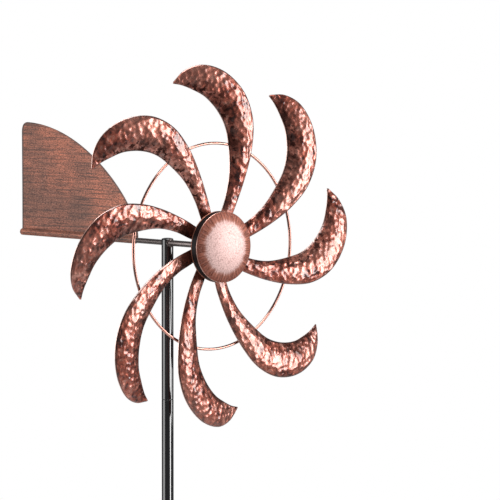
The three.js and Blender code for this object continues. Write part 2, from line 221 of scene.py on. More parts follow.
def spokes(side, other, count):
    """Directions spread evenly round the axis that is square to side and other."""
    turns = [2 * math.pi * k / count for k in range(count)]
    return [side * math.cos(turn) + other * math.sin(turn) for turn in turns]


def lathe(name, profile, origin, axis, material, segments=64, closed=False):
    """A turned piece: profile is (radius, height) in mm, with heights along the axis from the origin.

    A closed profile comes back to its start. Any other one begins and ends on the axis.
    """
    axis, side, other = frame_from(axis)
    origin = Vector(origin)
    rows = len(profile)
    vertices = []
    for radius, height in profile:
        for spoke in spokes(side, other, segments):
            vertices.append(origin + axis * (height * MM) + spoke * (max(radius, 1e-4) * MM))
    faces = grid_faces(rows, segments, wrap_rows=closed, wrap_columns=True)
    if not closed:
        faces.append(tuple(range(segments))[::-1])
        faces.append(tuple((rows - 1) * segments + k for k in range(segments)))
    piece = new_object(name, vertices, faces, material)
    return sharpen(piece)


def upright(name, profile, closed=False):
    """A piece in black enamel turned about the pole's axis, with heights above the ground line."""
    return lathe(name, profile, (0, 0, 0), (0, 0, 1), BLACK, closed=closed)


def arc(centre, radius, start, end, steps):
    """Profile points round a centre, angles in degrees."""
    angles = np.radians(np.linspace(start, end, steps + 1))
    return [(centre[0] + radius * math.cos(a), centre[1] + radius * math.sin(a)) for a in angles]


def sweep(name, path, radius, material):
    """A round rod along a list of points in mm, a little narrower at its two flat ends."""
    sides, end_width = 32, 0.88
    points = [Vector(p) for p in path]
    tangents = []
    for i in range(len(points)):
        before, after = points[max(i - 1, 0)], points[min(i + 1, len(points) - 1)]
        tangents.append((after - before).normalized())
    normal = tangents[0].orthogonal().normalized()
    vertices = []
    radii = [radius] * len(points)
    radii[0] = radii[-1] = radius * end_width
    for point, tangent, r in zip(points, tangents, radii):
        normal = (normal - tangent * normal.dot(tangent)).normalized()
        other = tangent.cross(normal)
        for k in range(sides):
            angle = 2 * math.pi * k / sides
            vertices.append((point + (normal * math.cos(angle) + other * math.sin(angle)) * r) * MM)
    faces = grid_faces(len(points), sides, wrap_columns=True)
    faces.append(tuple(range(sides))[::-1])
    faces.append(tuple((len(points) - 1) * sides + k for k in range(sides)))
    return sharpen(new_object(name, vertices, faces, material), 50)


def centripetal(points, t):
    """The point at t (0 to 1) on a centripetal Catmull-Rom curve, as part.mjs draws it."""
    points = np.asarray(points, dtype=float)
    last = len(points) - 1
    place = min(t * last, last - 1e-9)
    i = int(place)
    w = place - i
    p1, p2 = points[i], points[i + 1]
    p0 = points[i - 1] if i > 0 else 2 * p1 - p2
    p3 = points[i + 2] if i + 2 <= last else 2 * p2 - p1
    d0, d1, d2 = (np.sum((b - a) ** 2) ** 0.25 for a, b in ((p0, p1), (p1, p2), (p2, p3)))
    m1 = ((p1 - p0) / d0 - (p2 - p0) / (d0 + d1) + (p2 - p1) / d1) * d1
    m2 = ((p2 - p1) / d1 - (p3 - p1) / (d1 + d2) + (p3 - p2) / d2) * d1
    return (p1 + m1 * w + (-3 * p1 + 3 * p2 - 2 * m1 - m2) * w ** 2
            + (2 * p1 - 2 * p2 + m1 + m2) * w ** 3)


# ------------------------------------------------------------------ material helpers
class Finish:
    """A node material under construction: one Principled shader and short calls that add nodes."""

    def __init__(self, name, metallic=0.0, roughness=0.5, color=(0.5, 0.5, 0.5)):
        self.material = bpy.data.materials.new(name)
        self.material.use_nodes = True
        self.tree = self.material.node_tree
        self.shader = self.tree.nodes["Principled BSDF"]
        self.shader.inputs["Metallic"].default_value = metallic
        self.shader.inputs["Roughness"].default_value = roughness
        self.shader.inputs["Base Color"].default_value = (*color, 1)
        self.place = self.tree.nodes.new("ShaderNodeTexCoord")

    def link(self, source, target):
        self.tree.links.new(source, target)

    def node(self, kind, **settings):
        """A new node, each setting given to its property or else to its input of that name."""
        node = self.tree.nodes.new(kind)
        for key, value in settings.items():
            if hasattr(node, key):
                setattr(node, key, value)
            else:
                node.inputs[key].default_value = value
        return node

    def scaled(self, scale):
        """Object coordinates in metres, stretched by one factor for each axis."""
        mapping = self.node("ShaderNodeMapping")
        mapping.inputs["Scale"].default_value = scale
        self.link(self.place.outputs["Object"], mapping.inputs["Vector"])
        return mapping.outputs["Vector"]

    def noise(self, scale, detail=3.0, roughness=0.55, distortion=0.0, vector=None):
        node = self.node("ShaderNodeTexNoise", Scale=scale, Detail=detail, Roughness=roughness,
                         Distortion=distortion)
        self.link(vector or self.place.outputs["Object"], node.inputs["Vector"])
        return node.outputs["Fac"]

    def cells(self, scale, smoothness):
        """Distance to the nearest of many scattered points, softened where two are equally near."""
        node = self.node("ShaderNodeTexVoronoi", Scale=scale)
        node.feature = "SMOOTH_F1"
        node.inputs["Smoothness"].default_value = smoothness
        self.link(self.place.outputs["Object"], node.inputs["Vector"])
        return node.outputs["Distance"]

    def ramp(self, factor, *stops):
        """Turns a factor into a grey or a color, by stops of (position, grey or color)."""
        node = self.tree.nodes.new("ShaderNodeValToRGB")
        elements = node.color_ramp.elements
        while len(elements) < len(stops):
            elements.new(0.5)
        for element, (position, value) in zip(elements, stops):
            element.position = position
            element.color = (*value, 1) if isinstance(value, tuple) else (value, value, value, 1)
        self.link(factor, node.inputs["Fac"])
        return node.outputs["Color"]

    def mix(self, factor, first, second):
        """The first color where the factor is 0 and the second where it is 1."""
        node = self.tree.nodes.new("ShaderNodeMix")
        node.data_type = "RGBA"
        self.feed(factor, node.inputs["Factor"])
        self.feed(first, node.inputs[6])
        self.feed(second, node.inputs[7])
        return node.outputs[2]

    def math(self, operation, first, second=0.0):
        node = self.tree.nodes.new("ShaderNodeMath")
        node.operation = operation
        self.feed(first, node.inputs[0])
        self.feed(second, node.inputs[1])
        return node.outputs[0]

    def feed(self, source, target):
        """Gives an input a number, a color or another node's output."""
        if isinstance(source, (int, float)):
            target.default_value = source
        elif isinstance(source, tuple):
            target.default_value = (*source, 1)
        else:
            self.link(source, target)

    def split(self, vector):
        """The three parts of a vector."""
        node = self.tree.nodes.new("ShaderNodeSeparateXYZ")
        self.link(vector, node.inputs[0])
        return node.outputs

    def bump(self, height, distance, strength):
        """Adds a relief on top of the ones the shader already has; its depth is in metres."""
        node = self.node("ShaderNodeBump", Distance=distance, Strength=strength)
        self.link(height, node.inputs["Height"])
        previous = self.shader.inputs["Normal"]
        if previous.is_linked:
            self.link(previous.links[0].from_socket, node.inputs["Normal"])
        self.link(node.outputs["Normal"], previous)

    def set(self, **sockets):
        """Feeds the shader's inputs, with _ for a space in their names, and gives the material back."""
        for key, value in sockets.items():
            self.feed(value, self.shader.inputs[key.replace("_", " ")])
        return self.material


PALE_COPPER = (0.80, 0.52, 0.44)
RUBBED_COPPER = (0.60, 0.27, 0.205)
PATINA_AND_SHADE = (0.022, 0.007, 0.006)


def hammered_copper():
    """Antique copper over dented iron: bright crowns, brown valleys and black patina specks, with painted
    shade at the root, on the inner side and along the edges, and a painted reflection on the very edges.
    """
    f = Finish("hammered_copper", metallic=0.93)
    across, along, _ = f.split(f.place.outputs["UV"])
    wide = f.noise(17, 3, 0.6)
    medium = f.noise(90, 4, 0.62, 0.5)
    fine = f.noise(520, 3, 0.6)
    tone = f.ramp(medium, (0.38, (0.060, 0.010, 0.006)), (0.47, (0.31, 0.066, 0.038)),
                  (0.55, (0.45, 0.112, 0.066)), (0.66, (0.62, 0.27, 0.205)))
    worn = f.ramp(wide, (0.43, 0.0), (0.60, 1.0))
    tone = f.mix(f.math("MULTIPLY", worn, 0.42), tone, RUBBED_COPPER)
    # The dark specks and clouds are the copper's patina; weighting them toward each blade's inner side,
    # which the dished sheet turns from the key light, is painted shade.
    inner_side = f.ramp(across, (0.20, 1.0), (0.62, 0.30))
    spots = f.ramp(f.noise(130, 4, 0.66, 0.3), (0.505, 0.0), (0.575, 1.0))
    clouds = f.ramp(f.noise(52, 4, 0.62, 0.4), (0.48, 0.0), (0.58, 1.0))
    dark = f.math("MULTIPLY", f.math("MAXIMUM", spots, f.math("MULTIPLY", clouds, 0.85)), inner_side)
    # Painted shade: the blade darkens to near-black toward its root, where the hub shades it.
    root = f.ramp(along, (0.02, 1.0), (0.42, 0.0))
    dark = f.math("MAXIMUM", dark, f.math("MULTIPLY", root, 0.8))
    tone = f.mix(f.math("MULTIPLY", dark, 0.93), tone, PATINA_AND_SHADE)
    # Painted shade: a dark line just inside each edge, where the rolled edge turns into shadow.
    edge = f.math("ABSOLUTE", f.math("SUBTRACT", across, 0.5))
    rim_shade_line = f.ramp(edge, (0.462, 0.0), (0.480, 0.9), (0.492, 0.9), (0.498, 0.0))
    tone = f.mix(rim_shade_line, tone, (0.030, 0.014, 0.012))
    # Painted reflection: the very edges are pale copper, standing for the white studio seen in the rolled
    # edges.
    tone = f.mix(f.ramp(edge, (0.495, 0.0), (0.499, 0.8)), tone, PALE_COPPER)
    f.bump(f.cells(170, 0.5), 0.0010, 0.22)
    f.bump(fine, 0.0003, 0.25)
    rough = f.ramp(fine, (0.3, 0.29), (0.7, 0.44))
    rough = f.mix(dark, rough, (0.48, 0.48, 0.48))
    lacquer = f.math("MULTIPLY", f.math("SUBTRACT", 1.0, dark), 0.85)
    return f.set(Base_Color=tone, Roughness=rough, Coat_Weight=lacquer, Coat_IOR=1.8, Coat_Roughness=0.17)


def brushed_copper():
    """The vane: brown copper with fine dark horizontal brush streaks and a dark rubbed border."""
    f = Finish("brushed_copper", metallic=0.5)
    streaks = f.noise(1.0, 4, 0.7, 0.2, f.scaled((14, 14, 420)))
    dashes = f.noise(1.0, 3, 0.65, 0.0, f.scaled((330, 330, 1250)))
    cloud = f.noise(9, 3, 0.55)
    tone = f.ramp(cloud, (0.36, (0.238, 0.106, 0.075)), (0.50, (0.425, 0.156, 0.098)),
                  (0.64, (0.60, 0.198, 0.115)))
    tone = f.mix(f.ramp(streaks, (0.36, 1.0), (0.55, 0.0)), tone, (0.085, 0.050, 0.042))
    tone = f.mix(f.ramp(dashes, (0.40, 0.95), (0.52, 0.0)), tone, (0.060, 0.036, 0.031))
    tone = f.mix(f.ramp(dashes, (0.56, 0.0), (0.68, 0.35)), tone, (0.52, 0.30, 0.24))
    border = f.split(f.place.outputs["UV"])[0]
    tone = f.mix(f.ramp(border, (0.12, 0.85), (0.50, 0.0)), tone, (0.055, 0.042, 0.040))
    f.bump(streaks, 0.0003, 0.3)
    f.bump(dashes, 0.0002, 0.35)
    rough = f.ramp(dashes, (0.3, 0.58), (0.7, 0.40))
    return f.set(Base_Color=tone, Roughness=rough)


def hub_copper():
    """Hub cap: pale and finely grained in the middle, radially brushed and dark toward the rim; the pale
    middle is partly a painted highlight and the dark rim partly painted shade.
    """
    f = Finish("hub_copper", metallic=0.8)
    radius_fraction, turn, _ = f.split(f.place.outputs["UV"])
    around = f.node("ShaderNodeCombineXYZ")
    f.link(f.math("MULTIPLY", turn, 160.0), around.inputs[0])
    f.link(f.math("MULTIPLY", radius_fraction, 3.0), around.inputs[1])
    rays = f.noise(1.0, 4, 0.65, 0.0, around.outputs[0])
    grain = f.noise(620, 3, 0.7)
    cloud = f.noise(60, 3, 0.6)
    reach = f.math("ADD", radius_fraction, f.math("MULTIPLY", f.math("SUBTRACT", cloud, 0.5), 0.16))
    reach = f.math("ADD", reach, f.math("MULTIPLY", f.math("SUBTRACT", rays, 0.5), -0.30))
    # Pale middle to dark rim: partly the cap's own tone, partly a painted highlight where the flat middle
    # faces the key light and painted shade where the dome turns away toward the rim.
    tone = f.ramp(reach, (0.0, (0.79, 0.565, 0.535)), (0.70, (0.79, 0.555, 0.52)),
                  (0.79, (0.47, 0.180, 0.122)), (0.97, (0.36, 0.105, 0.064)))
    ray_strength = f.math("MULTIPLY", f.ramp(rays, (0.43, 1.0), (0.57, 0.0)),
                          f.ramp(radius_fraction, (0.62, 0.0), (0.84, 0.85)))
    tone = f.mix(ray_strength, tone, (0.10, 0.030, 0.020))
    tone = f.mix(f.ramp(grain, (0.40, 0.62), (0.52, 0.0)), tone, (0.36, 0.17, 0.14))
    f.bump(grain, 0.0004, 0.45)
    f.bump(rays, 0.0002, 0.2)
    return f.set(Base_Color=tone, Roughness=0.52)


def enamel(name, color, roughness=0.12, coat=1.0, shine=0.0):
    """Glossy paint with a trace of orange peel and dust."""
    f = Finish(name, roughness=roughness)
    peel = f.noise(500, 2, 0.5)
    dust = f.noise(130, 4, 0.65)
    f.bump(peel, 0.00004, 0.2)
    tone = f.mix(f.ramp(dust, (0.55, 0.0), (0.80, 0.08)), color, tuple(c + 0.05 for c in color))
    rough = f.ramp(dust, (0.3, roughness), (0.8, roughness + 0.12))
    return f.set(Base_Color=tone, Roughness=rough, Specular_IOR_Level=shine, Coat_Weight=coat, Coat_IOR=1.7,
                 Coat_Roughness=roughness)


def steel(name, color, roughness, metallic=1.0, blotches=0.45):
    """Turned or drawn metal with a fine tooth and dull blotches."""
    f = Finish(name, metallic=metallic)
    blotch = f.noise(180, 4, 0.6)
    fine = f.noise(1600, 2, 0.5)
    tone = f.mix(f.ramp(blotch, (0.40, 0.0), (0.70, blotches)), color, tuple(c * 0.55 for c in color))
    rough = f.ramp(blotch, (0.3, roughness), (0.7, roughness + 0.4 * blotches))
    f.bump(fine, 0.00003, 0.2 * blotches)
    return f.set(Base_Color=tone, Roughness=rough)


def floor_finish():
    """Matt pale floor that fades out far from the object."""
    f = Finish("studio_floor", roughness=0.9, color=(0.86, 0.86, 0.86))
    x, y, _ = f.split(f.place.outputs["Object"])
    distance = f.math("SQRT", f.math("ADD", f.math("MULTIPLY", x, x), f.math("MULTIPLY", y, y)))
    fade = f.ramp(f.math("DIVIDE", distance, FLOOR_R), (0.08, 1.0), (0.44, 0.0))
    return f.set(Alpha=fade)


COPPER = hammered_copper()
VANE = brushed_copper()
HUB = hub_copper()
BLACK = enamel("black_enamel", (0.004, 0.004, 0.005), 0.06)
# Near-black and matt for the hub cap's side wall: painted shade for a wall in shadow.
SKIRT_SHADE = enamel("hub_skirt_painted_shade", (0.008, 0.004, 0.004), 0.5, coat=0.0, shine=0.15)
DARK = steel("dark_steel", (0.130, 0.108, 0.104), 0.2, 0.85, 0.3)
BRIGHT = steel("bright_steel", (0.62, 0.62, 0.64), 0.25)
BRONZE = steel("bronze", (0.45, 0.28, 0.12), 0.4)
WIRE = steel("copper_wire", (0.52, 0.26, 0.21), 0.13, 1.0, 0.12)
BEAD = steel("rim_bead_copper", PALE_COPPER, 0.25, 0.9)
PLAIN_COPPER = steel("aged_plain_copper", (0.30, 0.115, 0.075), 0.34, 0.85, 0.7)


# ------------------------------------------------------------------ stand
def pole_profile(bottom, top, neck=False):
    """Outside, over the top and back down the bore, in mm above the ground line.

    A neck is the narrow end that the next section is pushed over.
    """
    lip, neck_lip = 0.35, 0.4
    outside = [(TUBE_R - lip, bottom), (TUBE_R, bottom + lip), (TUBE_R, top - lip), (TUBE_R - lip, top)]
    if not neck:
        return outside + [(TUBE_BORE_R, top), (TUBE_BORE_R, bottom)]
    neck_top = top + NECK_HEIGHT
    return outside + [(NECK_R, top), (NECK_R, neck_top - neck_lip), (NECK_R - neck_lip, neck_top),
                      (NECK_BORE_R, neck_top), (NECK_BORE_R, top - 2), (TUBE_BORE_R, top - 5),
                      (TUBE_BORE_R, bottom)]


def build_stand():
    low, middle, high = POLE_JOINTS
    # the stake's cone runs into the tube, so the tube's own bottom edge is left off
    stake_tube = pole_profile(-80, low, neck=True)[2:-1]
    stake = [(0, -STAKE_DEPTH), (1.4, -161.8), (2.5, -160.9), (3.3, -158.6), (3.7, -155.6), (3.85, -149),
             (4.1, -142), (4.8, -135), (5.8, -126), (6.7, -117), (7.45, -108), (7.85, -101), (TUBE_R, -94),
             *stake_tube, (TUBE_BORE_R, -84), (0, -90)]
    plug = [(0, 745), (5.9, 745), (NECK_R, 746), (NECK_R, 776), (7.6, 776), (TUBE_R, 776.3), (TUBE_R, 777.1),
            (7.6, 777.5), (3.3, 777.6), (3.3, 750), (0, 750)]
    pieces = {
        "ground_stake": upright("stake_tube", stake),
        "pole_lower": upright("pole_lower_tube", pole_profile(low + GAP, middle, neck=True), closed=True),
        "pole_middle": upright("pole_middle_tube", pole_profile(middle + GAP, high, neck=True), closed=True),
        "pole_upper": upright("pole_upper_tube", pole_profile(high + GAP, POLE_TOP), closed=True),
        "pivot_plug": upright("pivot_plug_turned", plug),
    }
    corner = -PRONG_REACH + PRONG_BEND_R
    bend = [(corner - PRONG_BEND_R * math.sin(a), 0, -PRONG_BEND_R + PRONG_BEND_R * math.cos(a))
            for a in np.linspace(0, math.pi / 2, 13)]
    foot = [(-PRONG_REACH, 0, -STAKE_DEPTH + 0.4), (-PRONG_REACH, 0, -STAKE_DEPTH)]
    pieces["stake_prong"] = sweep("prong_rod", [(-8.3, 0, 0), (-8.8, 0, 0)] + bend + foot, PRONG_R, BLACK)
    for node, piece in pieces.items():
        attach(piece, "stand")
        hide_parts(node)
    weld = collar_weld("prong_weld", (-TUBE_R, 0, 0), (-1, 0, 0), PRONG_R + 0.05, 2.2, BLACK, seed=3)
    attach(weld, "stand")


def collar_weld(name, place, axis, rod_r, leg, material, seed):
    """A rippled fillet of weld round a level rod where it meets the upright tube, with place in mm."""
    axis, side, other = frame_from(axis)
    rng = np.random.default_rng(seed)
    around, rings, ripples = 72, 9, 11
    wave = np.sin(np.arange(around) * 2 * math.pi / around * ripples)
    ripple = 1 + WELD_RIPPLE * wave + rng.normal(0, 0.03, around)
    across_tube = axis.cross(Vector((0, 0, 1)))
    directions = spokes(side, other, around)
    vertices = []
    # a concave quarter round from the rod's skin out to the tube's skin
    for i in range(rings + 1):
        lean = (math.pi / 2) * i / rings
        for k, spoke in enumerate(directions):
            out = rod_r + leg * ripple[k] * (1 - math.cos(lean)) ** 1.2
            up = leg * ripple[k] * (1 - math.sin(lean)) ** 1.2
            offset = out * abs(spoke.dot(across_tube))
            drop = TUBE_R - math.sqrt(TUBE_R ** 2 - min(offset, TUBE_R * 0.98) ** 2)
            vertices.append(Vector(place) * MM + (spoke * out + axis * (up - drop)) * MM)
    # a last ring inside both metals closes the bead
    for spoke in directions:
        vertices.append(Vector(place) * MM + (spoke * (rod_r - 0.4) - axis * 0.8) * MM)
    return new_object(name, vertices, grid_faces(rings + 2, around, True, True), material)


# ------------------------------------------------------------------ head
def build_head():
    """The swivel sleeve and its cap, and the rods that the rotor and the vane are on."""
    sleeve = [(7.6, 778.1), (TUBE_R, 778.5), (TUBE_R, 815.3), (6, 815.3), (6, 778.1)]
    cap = [(0, 811.7), (5.7, 811.7), (5.7, 815.35), (7.9, 815.35), (TUBE_R, 815.8), (7.75, 816.3),
           (7.0, 816.8), (5.6, 817.2), (3.6, 817.55), (1.6, 817.7), (0, 817.7)]
    arm = (0, 0, ARM_Z)
    forward, backward = (0, -1, 0), (0, 1, 0)
    root = 7.6
    axle = [(0, root), (AXLE_R, root), (AXLE_R, AXLE_END - 1.2), (AXLE_R - 0.6, AXLE_END), (0, AXLE_END)]
    tail = [(0, root), (TAIL_ROD_R, root), (TAIL_ROD_R, TAIL_ROD_END_Y - 0.6),
            (TAIL_ROD_R - 0.6, TAIL_ROD_END_Y), (0, TAIL_ROD_END_Y)]
    pieces = {
        "swivel_sleeve": (upright("sleeve_tube", sleeve, closed=True), "black_enamel"),
        "swivel_cap": (upright("sleeve_cap", cap), "black_enamel"),
        "axle_rod": (lathe("axle_bar", axle, arm, forward, DARK, 48), "dark_steel"),
        "tail_rod": (lathe("tail_bar", tail, arm, backward, DARK, 48), "dark_steel"),
    }
    for node, (piece, slot) in pieces.items():
        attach(piece, "head")
        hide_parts(node)
    for name, axis, radius in (("axle_weld", forward, AXLE_R), ("tail_weld", backward, TAIL_ROD_R)):
        place = (0, TUBE_R * axis[1], ARM_Z / MM)
        weld = collar_weld(name, place, axis, radius + 0.05, 2.0, DARK, seed=9)
        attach(weld, "head")
    for i, y in enumerate(VANE_SCREW_Y):
        build_vane_screw(i + 1, y)


def build_vane_screw(number, y):
    """A pan-head screw through the hem into the tail rod, its head toward +X."""
    head_top = 7.0
    profile = [(0, -0.6), (1.5, -0.4), (1.5, 4.9), (2.9, 4.9), *arc((2.2, 5.7), 0.8, 0, 60, 4), (1.4, 6.9),
               (0, head_top)]
    screw = lathe(f"vane_screw_{number}_pan", profile, (0, y * MM, ARM_Z), (1, 0, 0), BRIGHT, 32)
    cross_recess(screw, Vector((head_top * MM, y * MM, ARM_Z)))
    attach(screw, "head")
    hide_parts(f"vane_screw_{number}")


def cross_recess(piece, top):
    """Cuts a cross-head recess into a screw's head, whose top faces +X."""
    slot_length, slot_width, slot_depth = 3.0, 0.55, 0.7
    cutter = bmesh.new()
    for length, width in ((slot_length, slot_width), (slot_width, slot_length)):
        made = bmesh.ops.create_cube(cutter, size=1.0)["verts"]
        bmesh.ops.scale(cutter, verts=made, vec=(2 * slot_depth * MM, length * MM, width * MM))
        bmesh.ops.translate(cutter, verts=made, vec=top)
    mesh = bpy.data.meshes.new("recess")
    cutter.to_mesh(mesh)
    cutter.free()
    tool = bpy.data.objects.new("recess", mesh)
    bpy.context.collection.objects.link(tool)
    boolean = piece.modifiers.new("recess", "BOOLEAN")
    boolean.operation = "DIFFERENCE"
    boolean.solver = "EXACT"
    boolean.use_self = True
    boolean.object = tool
    bpy.context.view_layer.objects.active = piece
    with bpy.context.temp_override(object=piece, active_object=piece):
        bpy.ops.object.modifier_apply(modifier="recess")
    bpy.data.objects.remove(tool)


def bezier(p0, p1, p2, p3, steps):
    """Points along a cubic curve from p0 to p3."""
    p0, p1, p2, p3 = map(np.array, (p0, p1, p2, p3))
    return [tuple((1 - t) ** 3 * p0 + 3 * (1 - t) ** 2 * t * p1 + 3 * (1 - t) * t ** 2 * p2 + t ** 3 * p3)
            for t in np.linspace(0, 1, steps + 1)]


def vane_front_edge(height):
    """Distance behind the pole of the vane's curved front edge at a height above the tail rod, in mm."""
    curve = bezier((VANE_FRONT_Y, HEM_R), (VANE_FRONT_Y, 45.5), (172, VANE_TOP - 2.5),
                   (VANE_BACK_Y - VANE_CORNER, VANE_TOP), 200)
    ys, zs = zip(*curve)
    return float(np.interp(height, zs, ys))


def vane_back_edge(height):
    """Distance behind the pole of the vane's back edge, with its rounded upper corner, in mm."""
    lift = height - (VANE_TOP - VANE_CORNER)
    if lift <= 0:
        return VANE_BACK_Y
    t = 1 - math.sqrt(max(1 - lift / VANE_CORNER, 0))
    return VANE_BACK_Y - VANE_CORNER * t * t


def vane_wave(y, z):
    """How far the sheet stands off flat, in mm."""
    return VANE_WAVINESS * math.sin(y / 37.0) * math.sin(z / 41.0 + 0.6)


def vane_sheet():
    """The sheet as one fine grid between its front and back edges, a little thinner at its rims."""
    rows, columns = 150, 120
    bottom, top = HEM_R - 1.2, VANE_TOP - 0.02
    middle_x = HEM_R - 0.35
    border_width = 10
    heights = [bottom + (top - bottom) * (1 - (1 - i / rows) ** 1.35) for i in range(rows + 1)]
    surfaces, border = [], []
    for side in (1, -1):
        for z in heights:
            y0, y1 = vane_front_edge(z), vane_back_edge(z)
            for j in range(columns + 1):
                y = y0 + (y1 - y0) * j / columns
                edge = min(y - y0, y1 - y, VANE_TOP - z)
                thin = VANE_HALF_SHEET * min(1.0, 0.35 + edge / 0.6)
                x = middle_x - VANE_WAVINESS + vane_wave(y, z) + side * thin
                surfaces.append((x * MM, y * MM, ARM_Z + z * MM))
                border.append((min(edge / border_width, 1), z / VANE_TOP))
    faces = sheet_faces(rows + 1, columns + 1)
    return sharpen(new_object("vane_sheet", surfaces, faces, VANE, uvs=border), 50)


def vane_hem():
    """The sheet's lower edge rolled round the tail rod, open by a slit where the roll ends."""
    turns = np.radians(np.linspace(-8, 322, 56))
    profile = [(HEM_R * math.cos(a), HEM_R * math.sin(a)) for a in turns]
    profile += [(HEM_BORE_R * math.cos(a), HEM_BORE_R * math.sin(a)) for a in turns[::-1]]
    end_lip = 0.6
    stations = [VANE_FRONT_Y, VANE_FRONT_Y + end_lip, *np.linspace(70, HEM_END_Y - 4, 40),
                HEM_END_Y - end_lip, HEM_END_Y]
    columns = len(profile)
    last_row = (len(stations) - 1) * columns
    vertices = []
    for k, y in enumerate(stations):
        pull = 0.93 if k in (0, len(stations) - 1) else 1.0
        vertices += [(x * pull * MM, y * MM, ARM_Z + z * pull * MM) for x, z in profile]
    faces = grid_faces(len(stations), columns, wrap_columns=True)
    for start in (0, last_row):
        for k in range(columns // 2 - 1):
            faces.append((start + k, start + k + 1, start + columns - 2 - k, start + columns - 1 - k))
    return sharpen(new_object("vane_hem", vertices, faces, VANE, uvs=[(1, 0)] * len(vertices)), 50)


def build_vane():
    sheet = vane_sheet()
    hem = vane_hem()
    for piece in (sheet, hem):
        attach(piece, "head")
    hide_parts("tail_vane")
    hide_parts("tail_vane")


# ------------------------------------------------------------------ rotor
def turned(angle, point):
    """A point given as (x, forward, z) in mm on the upright rotor, turned and moved to the frame."""
    x, forward, z = point
    c, s = math.cos(angle), math.sin(angle)
    return ROTOR + Vector((x * c - z * s, -forward, x * s + z * c)) * MM


def blade_turn(i):
    """The turn from upright of blade i, counted from 0, in radians."""
    return math.radians(FIRST_TIP_ANGLE - 90 - i * 360 / BLADES + BLADE_SET[i])


def hammer_field(length, width, seed):
    """A function of the height over a blade laid flat: 0 in the middle of a dent and 1 well away."""
    rng = np.random.default_rng(seed)
    nx, ny = int(width / DENT_PITCH) + 3, int(length / DENT_PITCH) + 3
    gx, gy = np.meshgrid(np.arange(nx) - 1, np.arange(ny) - 1)
    centres = np.stack([(gx + 0.5 * (gy % 2)).ravel(), gy.ravel()], -1).astype(float) * DENT_PITCH
    centres += rng.normal(0, DENT_PITCH * 0.30, centres.shape)
    sizes = rng.uniform(0.6, 1.5, len(centres))

    def height(u, v):
        squares = ((u[..., None] - centres[:, 0]) ** 2 + (v[..., None] - centres[:, 1]) ** 2) * sizes
        return np.minimum(squares.min(-1) / (DENT_PITCH ** 2 * 0.5), 1.0)

    return height


def blade_surface(seed):
    """Front and back points of one upright blade as (x, forward, z), and UVs of across and along."""
    along, across = 190, 44
    inner_edge, outer_edge, bulge = zip(*BLADE_SECTIONS)
    inner = np.array([centripetal(inner_edge, i / along) for i in range(along + 1)])
    outer = np.array([centripetal(outer_edge, i / along) for i in range(along + 1)])
    stations = np.arange(len(BLADE_SECTIONS))
    crown = np.interp(np.linspace(0, stations[-1], along + 1), stations, bulge)

    # rows of points across the blade, closer together toward its edges
    u = 0.5 - 0.5 * np.cos(np.linspace(0, math.pi, across + 1))
    u = 0.55 * u + 0.45 * np.linspace(0, 1, across + 1)
    points = inner[:, None] + (outer - inner)[:, None] * u[None, :, None]
    points[..., 1] += crown[:, None] * 4 * (u * (1 - u))[None]

    # the blade laid flat: distances across and along it in mm
    middle = (inner + outer) / 2
    run = np.concatenate([[0], np.cumsum(np.linalg.norm(np.diff(middle, axis=0), axis=1))])
    width = np.linalg.norm(outer - inner, axis=1)
    flat_u = u[None] * width[:, None]
    flat_v = np.repeat(run[:, None], across + 1, axis=1)
    near_edge = np.minimum(flat_u, width[:, None] - flat_u)

    # the dents fade out toward the root and the edges, and the rolled edges toward the root
    dents = hammer_field(run[-1], width.max(), seed)(flat_u, flat_v)
    fade = np.clip((run - 22) / 25, 0, 1)[:, None] * np.clip(near_edge / 2.5, 0, 1)
    points[..., 1] += (dents - 0.6) * DENT_DEPTH * fade
    roll = np.exp(-(near_edge / EDGE_ROLL) ** 2)
    points[..., 1] -= EDGE_ROLL * roll * np.clip((run - 30) / 40, 0, 1)[:, None]

    front = points.copy()
    front[..., 1] += BLADE_SHEET
    uvs = np.stack([np.repeat(u[None], along + 1, axis=0), flat_v / 100], -1)
    return front, points, uvs


def build_blade(i):
    """One crescent blade, hammered in a pattern of its own."""
    front, back, uvs = blade_surface(seed=11 + i)
    rows, columns = front.shape[:2]
    angle = blade_turn(i)
    points = np.concatenate([front.reshape(-1, 3), back.reshape(-1, 3)])
    vertices = [turned(angle, point) for point in points]
    both = np.concatenate([uvs.reshape(-1, 2), uvs.reshape(-1, 2)])
    faces = sheet_faces(rows, columns)
    piece = sharpen(new_object(f"hammered_blade_{i + 1}", vertices, faces, COPPER, uvs=both), 60)
    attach(piece, "rotor")
    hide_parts(f"blade_{i + 1}")


def build_rivet(i):
    """The domed rivet through a blade's root and the carrier behind it."""
    shank, seat, tail = 1.9, BLADE_SHEET + 0.3, -2.3
    profile = [(0, tail - 1.5), (1.6, tail - 1.4), (2.7, tail - 1.0), (3.4, tail - 0.2), (3.4, tail),
               (shank, tail), (shank, seat), (3.6, seat), (3.5, seat + 0.5), (2.9, seat + 1.2),
               (1.8, seat + 1.75), (0, seat + 1.9)]
    place = turned(blade_turn(i), (RIVET_PLACE[0], 0, RIVET_PLACE[1]))
    rivet = lathe(f"domed_rivet_{i + 1}", profile, place, (0, -1, 0), DARK, 28)
    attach(rivet, "rotor")
    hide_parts(f"blade_rivet_{i + 1}")


def build_blades():
    for i in range(BLADES):
        build_blade(i)
        build_rivet(i)


def hub_dome(radius):
    """How far forward the cap's dome is at a distance from the rotor's axis, in mm."""
    return HUB_RIM + (HUB_CROWN - HUB_RIM) * (1 - (radius / HUB_R) ** 2)


